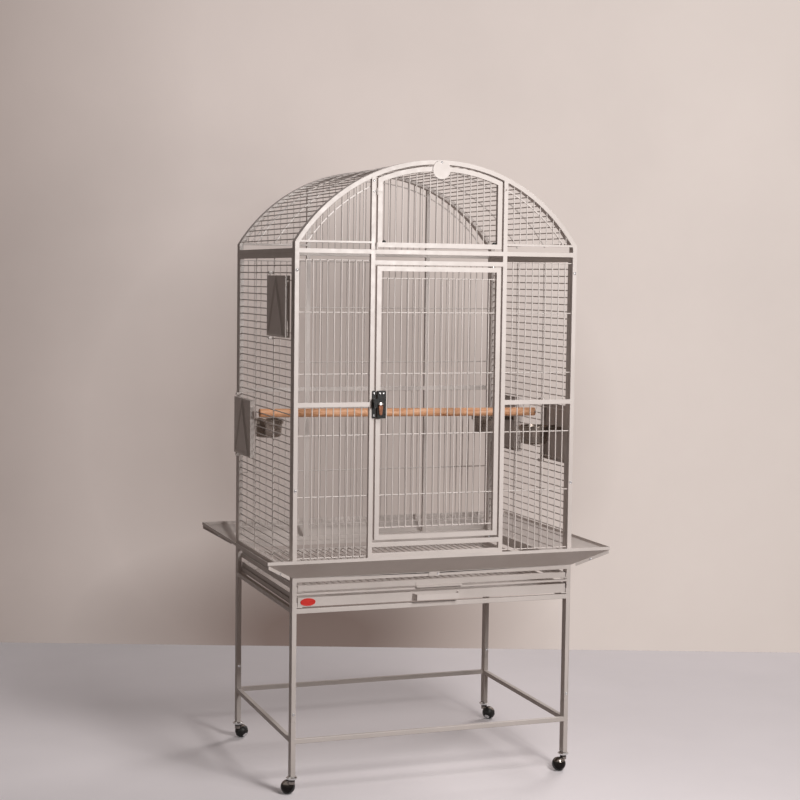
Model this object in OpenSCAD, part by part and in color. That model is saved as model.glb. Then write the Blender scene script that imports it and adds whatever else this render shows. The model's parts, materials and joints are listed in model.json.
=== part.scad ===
// Dome top parrot cage on a wheeled stand, welded from square tube and round bar.
// Millimetres. The origin is on the floor under the middle of the cage; the front looks along -Y.

/* [Overall] */
// Width over the corner posts
cage_w = 812; // [780:1:860]
// Depth over the corner posts
cage_d = 610; // [590:1:660]
// Height of the stand's top face above the floor
stand_h = 589; // [570:1:620]
// Height of the side walls
wall_h = 857; // [840:1:880]
// Straight stretch of post between the side walls and the arch
spring_h = 28; // [26:1:36]
// Rise of the arch above its springing
arch_rise = 220; // [205:1:240]

/* [Tube and bar] */
// Side of the square tube
tube = 12.7; // [12:0.1:13.5]
// Depth of the side walls' posts
side_post_d = 19; // [16:0.5:22]
// Diameter of the bars
bar_d = 3.2; // [2.8:0.1:3.6]
// Spacing that the bars come near to
bar_pitch = 19.8; // [19.4:0.1:20.2]
// Depth to which crossing bars are welded into each other
weld = 0.5; // [0.3:0.05:0.8]
// Gap between parts that are bolted side by side
seat_gap = 0.2; // [0.1:0.05:0.4]

/* [Front wall] */
// Centre of each door post from the middle of the wall
door_post_x = 190; // [180:1:200]
// Height of the door sill above the wall's foot
sill_h = 78; // [72:1:90]
// Distance from the sill down to the apron rail
apron_drop = 29.5; // [24:0.5:34]
// Height of the middle rail above the wall's foot
mid_h = 457; // [440:1:475]
// Distance from the dome rail down to the door header
header_drop = 28.5; // [26:0.5:34]
// Height of the lowest cross bar above the wall's foot
cross_first = 48; // [40:1:60]
// Spacing of the cross bars
cross_step = 163.5; // [158:0.5:166]
// Distance from the dome rail down to the topmost cross bar
top_cross_drop = 17; // [12:0.5:22]

/* [Front door] */
// Gap beside the door
door_side_gap = 5.3; // [4.5:0.1:7]
// Gap over the door
door_top_gap = 3.3; // [2.5:0.1:5]
// Gap under the door
door_foot_gap = 7; // [5:0.1:9]
// Distance from the hinge stile's centre in to the hinge pins
hinge_in = 14; // [12:0.5:16]
// Diameter of the hinge pins
pin_d = 6; // [5:0.1:7]
// Depth of the hinge pins in the tubes
pin_bite = 8; // [6:0.5:9]
// Running clearance round pins and axles
run_gap = 0.08; // [0.05:0.01:0.1]
// Distance from the door's rails in to its outermost cross bars
door_cross_in = 25.5; // [20:0.5:32]

/* [Latch] */
// Height of the latch case
latch_h = 74; // [66:1:84]
// Width of the latch case
latch_w = 23.5; // [20:0.5:26]
// Depth of the latch case
latch_t = 10; // [8:0.5:12]
// Rounding of the latch case's corners
latch_r = 3; // [1:0.5:5]
// Length of the lever from its pivot to its tip
lever_l = 28; // [24:0.5:32]
// Thickness of the lever
lever_t = 4; // [3:0.5:5]
// Radius of the lever's knob
knob_r = 6.5; // [5.5:0.1:7]
// Radius of the lever's tip
lever_tip_r = 4; // [3:0.1:5]
// Diameter of the lever's pivot
pivot_d = 5; // [4:0.1:6]
// Thickness of the keeper's base
keeper_t = 3; // [2:0.5:4]

/* [Dome] */
// Gap between the arch and the dome door
dome_gap = 5; // [4:0.5:7]
// Gap between the dome rail and the dome door
dome_foot_gap = 6; // [5:0.5:8]
// Distance from the arch's centre line in to the arc bars
arc_in = 24; // [20:1:30]
// Height of the light rail under the dome's side fields
light_rail = 6; // [5:0.5:8]
// Diameter of the round lock plate
disc_d = 50; // [44:1:50]
// Thickness of the round lock plate
disc_t = 2.5; // [2:0.1:3]
// Distance of the lock plate's centre below the arch's centre line
disc_drop = 20; // [19:0.5:24]
// Number of strips in the vault
vault_strips = 12; // [10:1:14]
// Distance of each arc bar of the vault from its middle
vault_arc_y = 98; // [70:1:130]
// Diameter of the dome door's bumpers
bumper_d = 12; // [9:0.5:12.5]
// Height of the dome door's bumpers
bumper_h = 6; // [4:0.1:6]

/* [Hinges] */
// Distance of the dome hinge's axis in front of the wall
dome_hinge_out = 4; // [3.9:0.1:5]
// Diameter of the dome hinge's knuckles
knuckle_d = 6.8; // [6.4:0.1:7]
// Diameter of the dome hinge's pins
hinge_pin_d = 4; // [3:0.1:4.2]
// Thickness of the hinge leaves
leaf_t = 2; // [1.5:0.1:2.5]
// Height of the upper hinge above the dome rail
upper_hinge_h = 150; // [120:1:165]
// Height of each knuckle
knuckle_h = 9; // [7:0.5:12]

/* [Feeders] */
// Distance of the side walls' upright bars from their middle
upright_y = 95; // [88:1:102]
// Number of bar gaps from the wall's foot to the low feeders
low_row = 14; // [12:1:15]
// Number of bar gaps from the high feeder to the wall's top
high_gap = 3; // [2:1:7]
// Number of bar gaps that a feeder opening takes
feeder_rows = 7; // [7:1:8]
// Lap of the feeder doors over the bars above and below
feeder_lap = 12.5; // [10:0.5:13]
// Lap of the feeder doors over the upright bars
upright_lap = 9; // [6:0.5:11]
// Gap between the feeder doors and the wall's posts
post_clear = 3; // [2:0.5:5]
// Depth of the feeder doors
feeder_t = 12.7; // [10:0.1:15]
// Thickness of the feeder doors' sheet
feeder_sheet = 1.2; // [1:0.1:1.6]
// Height of the triangle pressed out of the feeder doors
crease_h = 2; // [1:0.1:2.5]
// Distance of the feeder hinges' axes from the wall
feeder_hinge_out = 5; // [4.8:0.1:6]
// Diameter of the feeder hinges' rods
rod_d = 4; // [3:0.1:4.5]
// Diameter of the feeder hinges' knuckles
feeder_knuckle_d = 7; // [6.5:0.1:7.5]
// Diameter of the cups at the rim
cup_d = 90; // [74:1:94]
// Height of the cups
cup_h = 52; // [44:1:58]
// Thickness of the cups' sheet
cup_t = 1; // [0.8:0.1:1.5]
// Width of the cups' turned-out rims
cup_lip = 3.5; // [2.5:0.1:4.5]
// Draw-in of the cups towards the foot
cup_taper = 3; // [2:0.5:9]
// Height of the cups' rims above the foot of their doors
cup_rim_h = 103; // [95:1:115]
// Distance of the cups' centres in from the wall's outer face
cup_in = 63; // [60:0.5:72]
// Height of the cup rings
ring_h = 10; // [8:0.5:14]
// Thickness of the cup rings
ring_t = 2.5; // [2:0.1:3.5]
// Gap between the cups and their rings
cup_gap = 0.6; // [0.4:0.1:1]

/* [Perch] */
// Diameter of the perch
perch_d = 24; // [18:0.5:28]
// Number of bar gaps from the wall's foot to the perch
perch_row = 20; // [17:1:26]
// Distance of the perch's left end behind the middle
perch_left_y = 52; // [20:1:65]
// Distance of the perch's right end behind the middle
perch_right_y = -41; // [-65:1:0]

/* [Stand] */
// Depth of the legs
leg_d = 25.4; // [22:0.2:28]
// Height of the lower rail's centre above the floor
low_rail_h = 148; // [120:1:165]
// Height of the joint between the lower and upper legs
leg_joint_h = 200; // [190:1:220]
// Length of the plugs that join the legs
plug_l = 62; // [50:1:80]
// Wall of the upper legs round the plugs
leg_wall = 1.5; // [1.2:0.1:2]
// Height of the leg bolts above the joint
leg_bolt_h = 22; // [16:1:32]
// Distance of the tray bay's bottom rail below the stand's top face
bay_drop = 90; // [89:0.5:96]
// Thickness of the runners' sheet
runner_t = 2; // [1.5:0.1:2.5]
// Width of the runners' ledges
runner_w = 16; // [12:0.5:20]
// Height of the runners' webs
runner_h = 14; // [10:0.5:18]
// Thickness of the rail between the grate and the tray
divider_h = 5.5; // [4.5:0.1:6]
// Distance of that rail's top below the stand's top face
divider_drop = 42; // [41.5:0.5:43]
// Sliding clearance beside the tray and the grate
slide_gap = 1.5; // [1:0.1:2.5]
// Clearance under the tray and the grate
ride_gap = 0.3; // [0.2:0.05:0.4]

/* [Tray and grate] */
// Height of the tray
tray_h = 25; // [22:0.5:25.5]
// Thickness of the tray's sheet
tray_t = 1.2; // [1:0.1:2]
// Distance of the tray's floor below the stand's top face
tray_drop = 78.5; // [78.5:0.1:79]
// Height of the grate's frame
grate_h = 15; // [13:0.5:18]
// Width of the grate's frame bars
grate_bar_w = 10; // [8:0.5:14]
// Distance of the grate's foot below the stand's top face
grate_drop = 36.5; // [35:0.5:37.5]
// Distance of the tray's and the grate's fronts behind the stand's
slide_in = 1.5; // [1.5:0.1:2.5]
// Width of the grate's pull and the tray's handle
pull_w = 132; // [110:1:150]
// Sideways shift of the grate's pull
pull_x = 9; // [0:1:15]
// Reach of the grate's pull
pull_out = 8; // [5:0.5:12]
// Reach of the tray's handle
handle_out = 24; // [20:0.5:28]
// Height of the tray's handle strap
handle_h = 16; // [10:0.5:18]
// Thickness of the handle and the pull
strap_t = 1.6; // [1.2:0.1:2]

/* [Grate catch] */
// Length of the grate catch
catch_l = 33; // [29:0.5:34]
// Width of the grate catch
catch_w = 12; // [10:0.5:12.5]
// Thickness of the grate catch
catch_t = 1.6; // [1.2:0.1:2]
// Gap behind the grate catch
catch_gap = 0.3; // [0.2:0.05:0.5]

/* [Seed skirts] */
// Reach of the side skirts
skirt_x = 85; // [75:1:95]
// Reach of the front and rear skirts
skirt_y = 67; // [58:1:80]
// Rise of the skirts
skirt_rise = 57; // [50:1:62]
// Height of the skirts' upright lips
lip_h = 8.5; // [6:0.5:11]
// Thickness of the skirts' sheet
skirt_t = 1.2; // [1:0.1:1.5]
// Height of the flanges at the skirts' mitres
mitre_flange = 9; // [8:0.5:11]

/* [Fasteners] */
// Diameter of the wall and leg bolts
bolt_d = 5; // [4:0.1:6]
// Diameter of the bolts' heads
bolt_head_d = 9; // [8:0.1:11]
// Height of the bolts' heads
bolt_head_h = 3.2; // [2.5:0.1:4]
// Depth of the wall bolts in the side walls' posts
bolt_bite = 8; // [6:0.5:12]
// Height of the lower wall bolts above the wall's foot
bolt_low_h = 231; // [215:1:245]
// Distance of the upper wall bolts below the side walls' tops
bolt_drop = 44; // [38:1:54]
// Diameter of the small screws
screw_d = 3.5; // [3:0.1:4]
// Diameter of the small screws' heads
screw_head_d = 6.6; // [6:0.1:7]
// Height of the small screws' heads
screw_head_h = 2.2; // [1.6:0.1:2.8]
// Depth of the small screws behind the sheet they hold
screw_bite = 7; // [5:0.5:9]
// Clearance round bolts, plugs and stems
hole_gap = 0.1; // [0.05:0.01:0.2]

/* [Casters] */
// Diameter of the ball that a caster's wheel and hood make up
wheel_d = 40; // [38:1:42]
// Distance of the balls' centres behind their swivels
trail = 16; // [14:0.5:18]
// Slope of the axles below level
axle_tilt = 35; // [30:1:40]
// Height from the floor to the foot of the legs
caster_h = 52; // [51:0.5:56]
// Diameter of the caster's stem in the leg
stem_d = 8; // [6:0.5:9]
// Length of the caster's stem in the leg
stem_l = 28; // [20:1:36]
// Diameter of the swivel pin
swivel_d = 7; // [6:0.1:8]
// Diameter of the swivel's upper race
race_d = 31; // [28:0.5:33]
// Diameter of the swivel's lower race
head_d = 28; // [26:0.5:30]
// Diameter of the neck between the hood and the swivel
neck_d = 18; // [16:0.5:20]
// Diameter of the axles
axle_d = 5; // [4:0.1:6]
// Diameter of the wheels' hub caps
cap_d = 15; // [12:0.5:16]
// Direction in which the front left caster trails
turn_fl = 115; // [0:1:360]
// Direction in which the front right caster trails
turn_fr = 200; // [0:1:360]
// Direction in which the rear left caster trails
turn_rl = 32; // [0:1:360]
// Direction in which the rear right caster trails
turn_rr = 316; // [0:1:360]

/* [Hidden] */
$fn = 48;

paint = "#d9d0c8";
chrome = "#c8c9cc";
steel = "#a9a5a0";
black = "#1c1c1e";
wood = "#d9955f";

// Plan
half_w = cage_w / 2;
half_d = cage_d / 2;
post_x = half_w - tube / 2;
bay_x = half_w - tube;
front_y = -half_d;
wall_y = half_d - tube / 2;
side_y = half_d - tube - seat_gap;
bay_y = side_y - side_post_d;
big = 4 * cage_w;
// How far cuts run past the faces that they open
over = 1;

// Heights
foot_z = stand_h + skirt_t;
wall_foot = foot_z + tube;
side_top = foot_z + wall_h;
wall_head = side_top - tube;
dome_rail_z = side_top + tube / 2;
spring_z = side_top + spring_h;
mid_z = foot_z + mid_h;
sill_z = foot_z + sill_h;
apron_z = sill_z - apron_drop;
header_z = dome_rail_z - header_drop;

// Arch
arch_r = (post_x * post_x + arch_rise * arch_rise) / (2 * arch_rise);
arch_z = spring_z + arch_rise - arch_r;
function arch_height(r, x) = arch_z + sqrt(r * r - x * x);

// Places spread evenly between two faces, near to the wanted spacing
function spread(low, high, pitch) =
    let (n = max(2, round((high - low) / pitch)))
    [for (i = [1 : n - 1]) low + (high - low) * i / n];
// Heights of the cross bars between two levels
function cross_levels(low, high) =
    [for (z = [foot_z + cross_first : cross_step : side_top]) if (z > low && z < high) z];

// A square bar along X, Y or Z, by its ends and the centre of its section
module beam_x(x0, x1, y, z, w = tube, h = tube) {
    translate([x0, y - w / 2, z - h / 2]) cube([x1 - x0, w, h]);
}
module beam_y(y0, y1, x, z, w = tube, h = tube) {
    translate([x - w / 2, y0, z - h / 2]) cube([w, y1 - y0, h]);
}
module beam_z(z0, z1, x, y, w = tube, d = tube) {
    translate([x - w / 2, y - d / 2, z0]) cube([w, d, z1 - z0]);
}
// A round bar along X, Y or Z
module rod_x(x0, x1, y, z, d = bar_d) {
    translate([x0, y, z]) rotate([0, 90, 0]) cylinder(d = d, h = x1 - x0);
}
module rod_y(y0, y1, x, z, d = bar_d) {
    translate([x, y0, z]) rotate([-90, 0, 0]) cylinder(d = d, h = y1 - y0);
}
module rod_z(z0, z1, x, y, d = bar_d) {
    translate([x, y, z0]) cylinder(d = d, h = z1 - z0);
}
// A flat outline in X and Z, given thickness from y back to y + t
module upright_plate(y, t) {
    translate([0, y + t, 0]) rotate([90, 0, 0]) linear_extrude(t) children();
}
// An outline's rectangle by its sides
module box2(x0, x1, y0, y1) {
    translate([x0, y0]) square([x1 - x0, y1 - y0]);
}
module rounded(x0, x1, y0, y1, r) {
    box2(x0 + r, x1 - r, y0, y1);
    box2(x0, x1, y0 + r, y1 - r);
    for (x = [x0 + r, x1 - r], y = [y0 + r, y1 - r]) translate([x, y]) circle(r);
}
// A dome hanging from the face at the origin
module dome(d, h) {
    ball_r = d * d / (8 * h) + h / 2;
    intersection() {
        translate([0, 0, ball_r - h]) sphere(r = ball_r);
        translate([0, 0, -h]) cylinder(d = d, h = h);
    }
}
// A domed screw along +Z from the face at the origin
module screw(head_d, head_h, shank_d, shank_l) {
    cylinder(d = shank_d, h = shank_l);
    dome(head_d, head_h);
}
module small_screw_y(x, y, z, sheet) {
    translate([x, y, z]) rotate([-90, 0, 0]) screw(screw_head_d, screw_head_h, screw_d, sheet + screw_bite);
}
module small_hole_y(x, y, z, depth) {
    rod_y(y - over, y + depth, x, z, screw_d + 2 * hole_gap);
}
// A ring about the arch's centre
module arch_ring(r, width) {
    translate([0, arch_z]) difference() {
        circle(r + width / 2, $fn = 180);
        circle(r - width / 2, $fn = 180);
    }
}
// Corner posts and arch in one, from the given foot
module arched_frame(z0) {
    intersection() {
        arch_ring(arch_r, tube);
        box2(-half_w, half_w, spring_z - tube / 2, spring_z + big);
    }
    for (s = [-1, 1]) box2(s * post_x - tube / 2, s * post_x + tube / 2, z0, spring_z);
}

// Front and rear walls

bolt_levels = [foot_z + bolt_low_h, side_top - bolt_drop];
bolt_l = tube + seat_gap + bolt_bite;
stile_x = door_post_x - tube - door_side_gap;
hinge_x = stile_x - hinge_in;
clip_r = arch_r - tube / 2 - hole_gap;

module wall_tubes(middle_rails) {
    arched_frame(foot_z);
    box2(-bay_x, bay_x, foot_z, wall_foot);
    box2(-bay_x, bay_x, side_top, side_top + tube);
    for (s = [-1, 1]) {
        box2(s * door_post_x - tube / 2, s * door_post_x + tube / 2,
            foot_z, arch_height(arch_r, door_post_x));
        x0 = s < 0 ? -bay_x : door_post_x;
        x1 = s < 0 ? -door_post_x : bay_x;
        box2(x0, x1, mid_z - tube / 2, mid_z + tube / 2);
        box2(x0, x1, spring_z, spring_z + light_rail);
    }
    for (z = middle_rails) box2(-door_post_x, door_post_x, z - tube / 2, z + tube / 2);
}
module wall_bolt_holes(y) {
    for (s = [-1, 1], z = bolt_levels) rod_y(y - over, y + tube + over, s * post_x, z, bolt_d + 2 * hole_gap);
}
// Upright bars between two levels, with cross bars behind them
module field(xs, x0, x1, z0, z1, levels, y, inward) {
    for (x = xs) rod_z(z0, z1, x, y);
    for (z = levels) rod_x(x0, x1, y + inward * (bar_d - weld), z);
}
// The lower and upper bar fields between two posts
module wall_fields(xs, x0, x1, y, inward) {
    low = foot_z + cross_first;
    top = side_top - top_cross_drop;
    field(xs, x0, x1, low - bar_d / 2, mid_z - tube / 2, cross_levels(foot_z, mid_z), y, inward);
    field(xs, x0, x1, mid_z + tube / 2, top + bar_d / 2,
        concat(cross_levels(mid_z, top - bar_pitch), [top]), y, inward);
}
// A bar field under the arch, with an arc bar behind it
module dome_field(xs, x0, x1, foot, y, inward) {
    intersection() {
        union() {
            for (x = xs) rod_z(foot, arch_z + clip_r, x, y);
            upright_plate(y + inward * (bar_d - weld) - bar_d / 2, bar_d) intersection() {
                arch_ring(arch_r - arc_in, bar_d);
                box2(x0, x1, foot, foot + big);
            }
        }
        upright_plate(y - tube / 2, tube) translate([0, arch_z]) circle(clip_r, $fn = 180);
    }
}
module wall_side_grilles(y, inward) {
    in_x = door_post_x + tube / 2;
    for (s = [-1, 1]) {
        xs = [for (x = spread(in_x, bay_x, bar_pitch)) s * x];
        x0 = s < 0 ? -bay_x : in_x;
        x1 = s < 0 ? -in_x : bay_x;
        wall_fields(xs, x0, x1, y, inward);
        dome_field(xs, x0, x1, spring_z + light_rail, y, inward);
    }
}
module front_frame() {
    pin_hole = pin_d + 2 * hole_gap;
    color(paint) difference() {
        upright_plate(front_y, tube) wall_tubes([sill_z, apron_z, header_z]);
        wall_bolt_holes(front_y);
        rod_z(header_z - tube, header_z - tube / 2 + pin_bite + hole_gap, hinge_x, -wall_y, pin_hole);
        rod_z(sill_z + tube / 2 - pin_bite - hole_gap, sill_z + tube, hinge_x, -wall_y, pin_hole);
        for (z = keeper_screw_z) small_hole_y(keeper_screw_x, front_y, z, screw_bite + hole_gap);
        for (z = leaf_screw_z) small_hole_y(-door_post_x, front_y, z, screw_bite + hole_gap);
        small_hole_y(door_post_x, front_y, upper_hinge_z + leaf_h / 2, screw_bite + hole_gap);
        rod_y(front_y - over, front_y + screw_bite + over, 0, disc_screw_z, screw_d + disc_play);
    }
}
module front_grille() {
    color(paint) wall_side_grilles(-wall_y, 1);
}
module rear_frame() {
    color(paint) difference() {
        upright_plate(half_d - tube, tube) wall_tubes([mid_z]);
        wall_bolt_holes(half_d - tube);
    }
}
module rear_grille() {
    x = door_post_x - tube / 2;
    xs = spread(-x, x, bar_pitch);
    color(paint) {
        wall_side_grilles(wall_y, -1);
        wall_fields(xs, -x, x, wall_y, -1);
        dome_field(xs, -x, x, side_top + tube, wall_y, -1);
    }
}

// Side walls

row_n = round((wall_head - wall_foot) / bar_pitch);
function row_z(i) = wall_foot + (wall_head - wall_foot) * i / row_n;
high_row = row_n - high_gap - feeder_rows;
upright_stub = 2.5;
upright_end = upright_y + upright_stub;

module side_frame(s) {
    difference() {
        union() {
            for (e = [-1, 1])
                beam_z(foot_z, side_top, s * post_x, e * (side_y - side_post_d / 2), tube, side_post_d);
            for (z = [foot_z + tube / 2, side_top - tube / 2])
                beam_y(-bay_y - weld, bay_y + weld, s * post_x, z);
        }
        for (z = bolt_levels, e = [-1, 1])
            rod_y(e < 0 ? -side_y - over : side_y - bolt_bite - hole_gap,
                e < 0 ? -side_y + bolt_bite + hole_gap : side_y + over, s * post_x, z, bolt_d + 2 * hole_gap);
    }
}
// Rows of level bars from one row to another, tied by two upright bars that run on past an opening
module side_band(s, first, last, y0, y1) {
    wide = y1 - y0 > 2 * bay_y - tube;
    low = wide ? row_z(first) - bar_d / 2 : row_z(first - 1) + bar_d / 2 + hole_gap;
    high = wide ? row_z(last) + bar_d / 2 : row_z(last + 1) - bar_d / 2 - hole_gap;
    z0 = first == 1 ? wall_foot : low;
    z1 = last == row_n - 1 ? wall_head : high;
    for (i = [first : last]) rod_y(y0, y1, s * post_x, row_z(i));
    for (e = [-1, 1]) rod_z(z0, z1, s * (post_x + bar_d - weld), e * upright_y);
}
module left_frame() {
    color(paint) side_frame(-1);
}
module right_frame() {
    color(paint) side_frame(1);
}
module left_grille() {
    color(paint) {
        side_band(-1, 1, low_row, -bay_y, bay_y);
        side_band(-1, low_row + 1, low_row + feeder_rows - 1, -bay_y, upright_end);
        side_band(-1, low_row + feeder_rows, high_row, -bay_y, bay_y);
        side_band(-1, high_row + 1, high_row + feeder_rows - 1, -upright_end, bay_y);
        side_band(-1, high_row + feeder_rows, row_n - 1, -bay_y, bay_y);
    }
}
module right_grille() {
    color(paint) {
        side_band(1, 1, low_row, -bay_y, bay_y);
        side_band(1, low_row + 1, low_row + feeder_rows - 1, -upright_end, upright_end);
        side_band(1, low_row + feeder_rows, row_n - 1, -bay_y, bay_y);
    }
}

// Roof

vault_half = asin(post_x / arch_r);
strip_turn = 2 * vault_half / vault_strips;
strip_bars = max(2, round(strip_turn * PI / 180 * arch_r / bar_pitch));
vault_y = side_y - tube;

module roof_frame() {
    color(paint) {
        for (y = [-side_y, side_y - tube]) upright_plate(y, tube) arched_frame(side_top);
        for (s = [-1, 1]) beam_y(-vault_y + hole_gap, vault_y - hole_gap, s * post_x, side_top + tube / 2);
    }
}
// A strip of the vault, its middle turned from upright by the given angle
module vault_strip(turn) {
    translate([0, 0, arch_z]) rotate([0, turn, 0]) {
        for (i = [0 : strip_bars - 1])
            rotate([0, strip_turn * ((i + 0.5) / strip_bars - 0.5), 0]) rod_y(-vault_y, vault_y, 0, arch_r);
        for (e = [-1, 1]) upright_plate(e * vault_arc_y - bar_d / 2, bar_d) intersection() {
            difference() {
                circle(arch_r + bar_d * 1.5 - weld, $fn = 180);
                circle(arch_r + bar_d / 2 - weld, $fn = 180);
            }
            reach = 2 * arch_r;
            edge = reach * tan(strip_turn / 2) - 2 * hole_gap;
            polygon([[0, 0], [edge, reach], [-edge, reach]]);
        }
    }
}
module roof_grille() {
    color(paint) for (i = [0 : vault_strips - 1]) vault_strip(strip_turn * (i + 0.5) - vault_half);
}

// Stand

leg_y = half_d - leg_d / 2;
leg_in_y = half_d - leg_d;
bay_rail_z = stand_h - bay_drop;
tray_z = stand_h - tray_drop;
grate_z = stand_h - grate_drop;
divider_z = stand_h - divider_drop;
plug_w = tube - 2 * leg_wall - 2 * hole_gap;
plug_d = leg_d - 2 * leg_wall - 2 * hole_gap;
leg_bolt_z = leg_joint_h + leg_bolt_h;
catch_z = stand_h - tube / 2;
catch_x = 6;

module runner(s, top) {
    web = runner_t + weld;
    beam_y(-half_d, half_d, s * (bay_x - runner_w / 2), top - runner_t / 2, runner_w, runner_t);
    beam_y(-half_d, half_d, s * (bay_x - runner_t + web / 2), top - runner_t + runner_h / 2, web, runner_h);
}
module ring_of_rails(z) {
    for (e = [-1, 1]) beam_x(-bay_x - weld, bay_x + weld, e * wall_y, z);
    for (s = [-1, 1]) beam_y(-leg_in_y - weld, leg_in_y + weld, s * post_x, z);
}
module stand_frame() {
    color(paint) difference() {
        union() {
            for (s = [-1, 1], e = [-1, 1]) beam_z(leg_joint_h, stand_h, s * post_x, e * leg_y, tube, leg_d);
            ring_of_rails(stand_h - tube / 2);
            ring_of_rails(bay_rail_z);
            beam_x(-bay_x - weld, bay_x + weld, -wall_y, divider_z - divider_h / 2, tube, divider_h);
            for (s = [-1, 1]) {
                runner(s, tray_z - ride_gap);
                runner(s, grate_z - ride_gap);
            }
        }
        for (s = [-1, 1], e = [-1, 1]) {
            beam_z(leg_joint_h - over, leg_joint_h + plug_l + hole_gap, s * post_x, e * leg_y,
                plug_w + 2 * hole_gap, plug_d + 2 * hole_gap);
            rod_y(e * leg_y - leg_d / 2 - over, e * leg_y, s * post_x, leg_bolt_z, bolt_d + 2 * hole_gap);
        }
        small_hole_y(catch_x, front_y, catch_z, screw_bite + hole_gap);
    }
}
module base_frame() {
    color(paint) difference() {
        union() {
            for (s = [-1, 1], e = [-1, 1]) {
                beam_z(caster_h, leg_joint_h, s * post_x, e * leg_y, tube, leg_d);
                beam_z(leg_joint_h - weld, leg_joint_h + plug_l, s * post_x, e * leg_y, plug_w, plug_d);
            }
            ring_of_rails(low_rail_h);
        }
        for (s = [-1, 1], e = [-1, 1]) {
            rod_z(caster_h - over, caster_h + stem_l + hole_gap, s * post_x, e * leg_y,
                stem_d + 2 * hole_gap);
            rod_y(e * leg_y - leg_d / 2, e * leg_y - leg_d / 2 + bolt_l + hole_gap, s * post_x, leg_bolt_z,
                bolt_d + 2 * hole_gap);
        }
    }
}
// A bolt along Y from the face at y, into +Y or -Y
module frame_bolt(x, y, z, way) {
    translate([x, y, z]) rotate([-way * 90, 0, 0]) screw(bolt_head_d, bolt_head_h, bolt_d, bolt_l);
}
module frame_bolts() {
    color(chrome) for (s = [-1, 1]) {
        for (z = bolt_levels, e = [-1, 1]) frame_bolt(s * post_x, e * half_d, z, -e);
        for (e = [-1, 1]) frame_bolt(s * post_x, e * leg_y - leg_d / 2, leg_bolt_z, 1);
    }
}

// Seed skirts

skirt_bend = 1;
skirt_climb = skirt_rise - lip_h;
mitre_l = sqrt(skirt_x * skirt_x + skirt_y * skirt_y);
flange_start = 12;
flange_end = 3;
skirt_screw_s = mitre_l / 2;
skirt_screw_z = stand_h + skirt_climb / 2 - mitre_flange / 2;
skirt_screw_past = 2;
skirt_screw_l = 2 * (seat_gap + skirt_t) + skirt_screw_past;

module skirt_section(face, reach) {
    slope = skirt_climb / reach;
    bend = face + skirt_bend;
    top_bend = bend - skirt_t * tan(atan(slope) / 2);
    end = bend + reach;
    polygon([
        [face - tube, stand_h],
        [bend, stand_h],
        [end, stand_h + skirt_climb],
        [end, stand_h + skirt_rise],
        [end - skirt_t, stand_h + skirt_rise],
        [end - skirt_t, foot_z + (end - skirt_t - top_bend) * slope],
        [top_bend, foot_z],
        [face - tube, foot_z],
    ]);
}
// A skirt standing out along +X, cut to its mitres
module skirt(face, reach, side_face, side_reach) {
    bend = face + skirt_bend;
    side_bend = side_face + skirt_bend;
    in_v = side_bend - (tube + skirt_bend) * side_reach / reach - seat_gap;
    out_v = side_bend + side_reach - seat_gap;
    climb = skirt_climb / mitre_l;
    intersection() {
        upright_plate(-out_v, 2 * out_v) skirt_section(face, reach);
        linear_extrude(big) polygon([
            [face - tube, -in_v], [bend + reach, -out_v], [bend + reach, out_v], [face - tube, in_v],
        ]);
    }
    for (v = [-1, 1])
        translate([bend, v * side_bend, 0]) rotate([0, 0, v * atan(side_reach / reach)])
            upright_plate(v > 0 ? -seat_gap - skirt_t : seat_gap, skirt_t) difference() {
                polygon([
                    [flange_start, stand_h + flange_start * climb - mitre_flange],
                    [mitre_l - flange_end, stand_h + (mitre_l - flange_end) * climb - mitre_flange],
                    [mitre_l - flange_end, stand_h + (mitre_l - flange_end) * climb + skirt_t / 3],
                    [flange_start, stand_h + flange_start * climb + skirt_t / 3],
                ]);
                translate([skirt_screw_s, skirt_screw_z]) circle(d = screw_d + 2 * hole_gap);
            }
}
module skirt_front() {
    color(paint) rotate([0, 0, -90]) skirt(half_d, skirt_y, half_w, skirt_x);
}
module skirt_rear() {
    color(paint) rotate([0, 0, 90]) skirt(half_d, skirt_y, half_w, skirt_x);
}
module skirt_left() {
    color(paint) rotate([0, 0, 180]) skirt(half_w, skirt_x, half_d, skirt_y);
}
module skirt_right() {
    color(paint) skirt(half_w, skirt_x, half_d, skirt_y);
}

// Perch

module perch() {
    z = row_z(perch_row);
    turn = atan2(perch_right_y - perch_left_y, 2 * post_x);
    slot = bar_d + 2 * seat_gap;
    color(wood) difference() {
        intersection() {
            translate([0, (perch_left_y + perch_right_y) / 2, z]) rotate([0, 0, turn])
                rod_x(-cage_w, cage_w, 0, 0, perch_d);
            beam_x(-half_w + bar_d, half_w - bar_d, 0, z, cage_d, 2 * perch_d);
        }
        for (s = [-1, 1]) beam_y(-half_d, half_d, s * (post_x + tube / 2), z, tube + slot, slot);
    }
}

// Front door and latch

door_top_z = header_z - tube / 2 - door_top_gap;
door_foot_z = sill_z + tube / 2 + door_foot_gap;
pin_reach = pin_bite + hole_gap;

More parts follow.
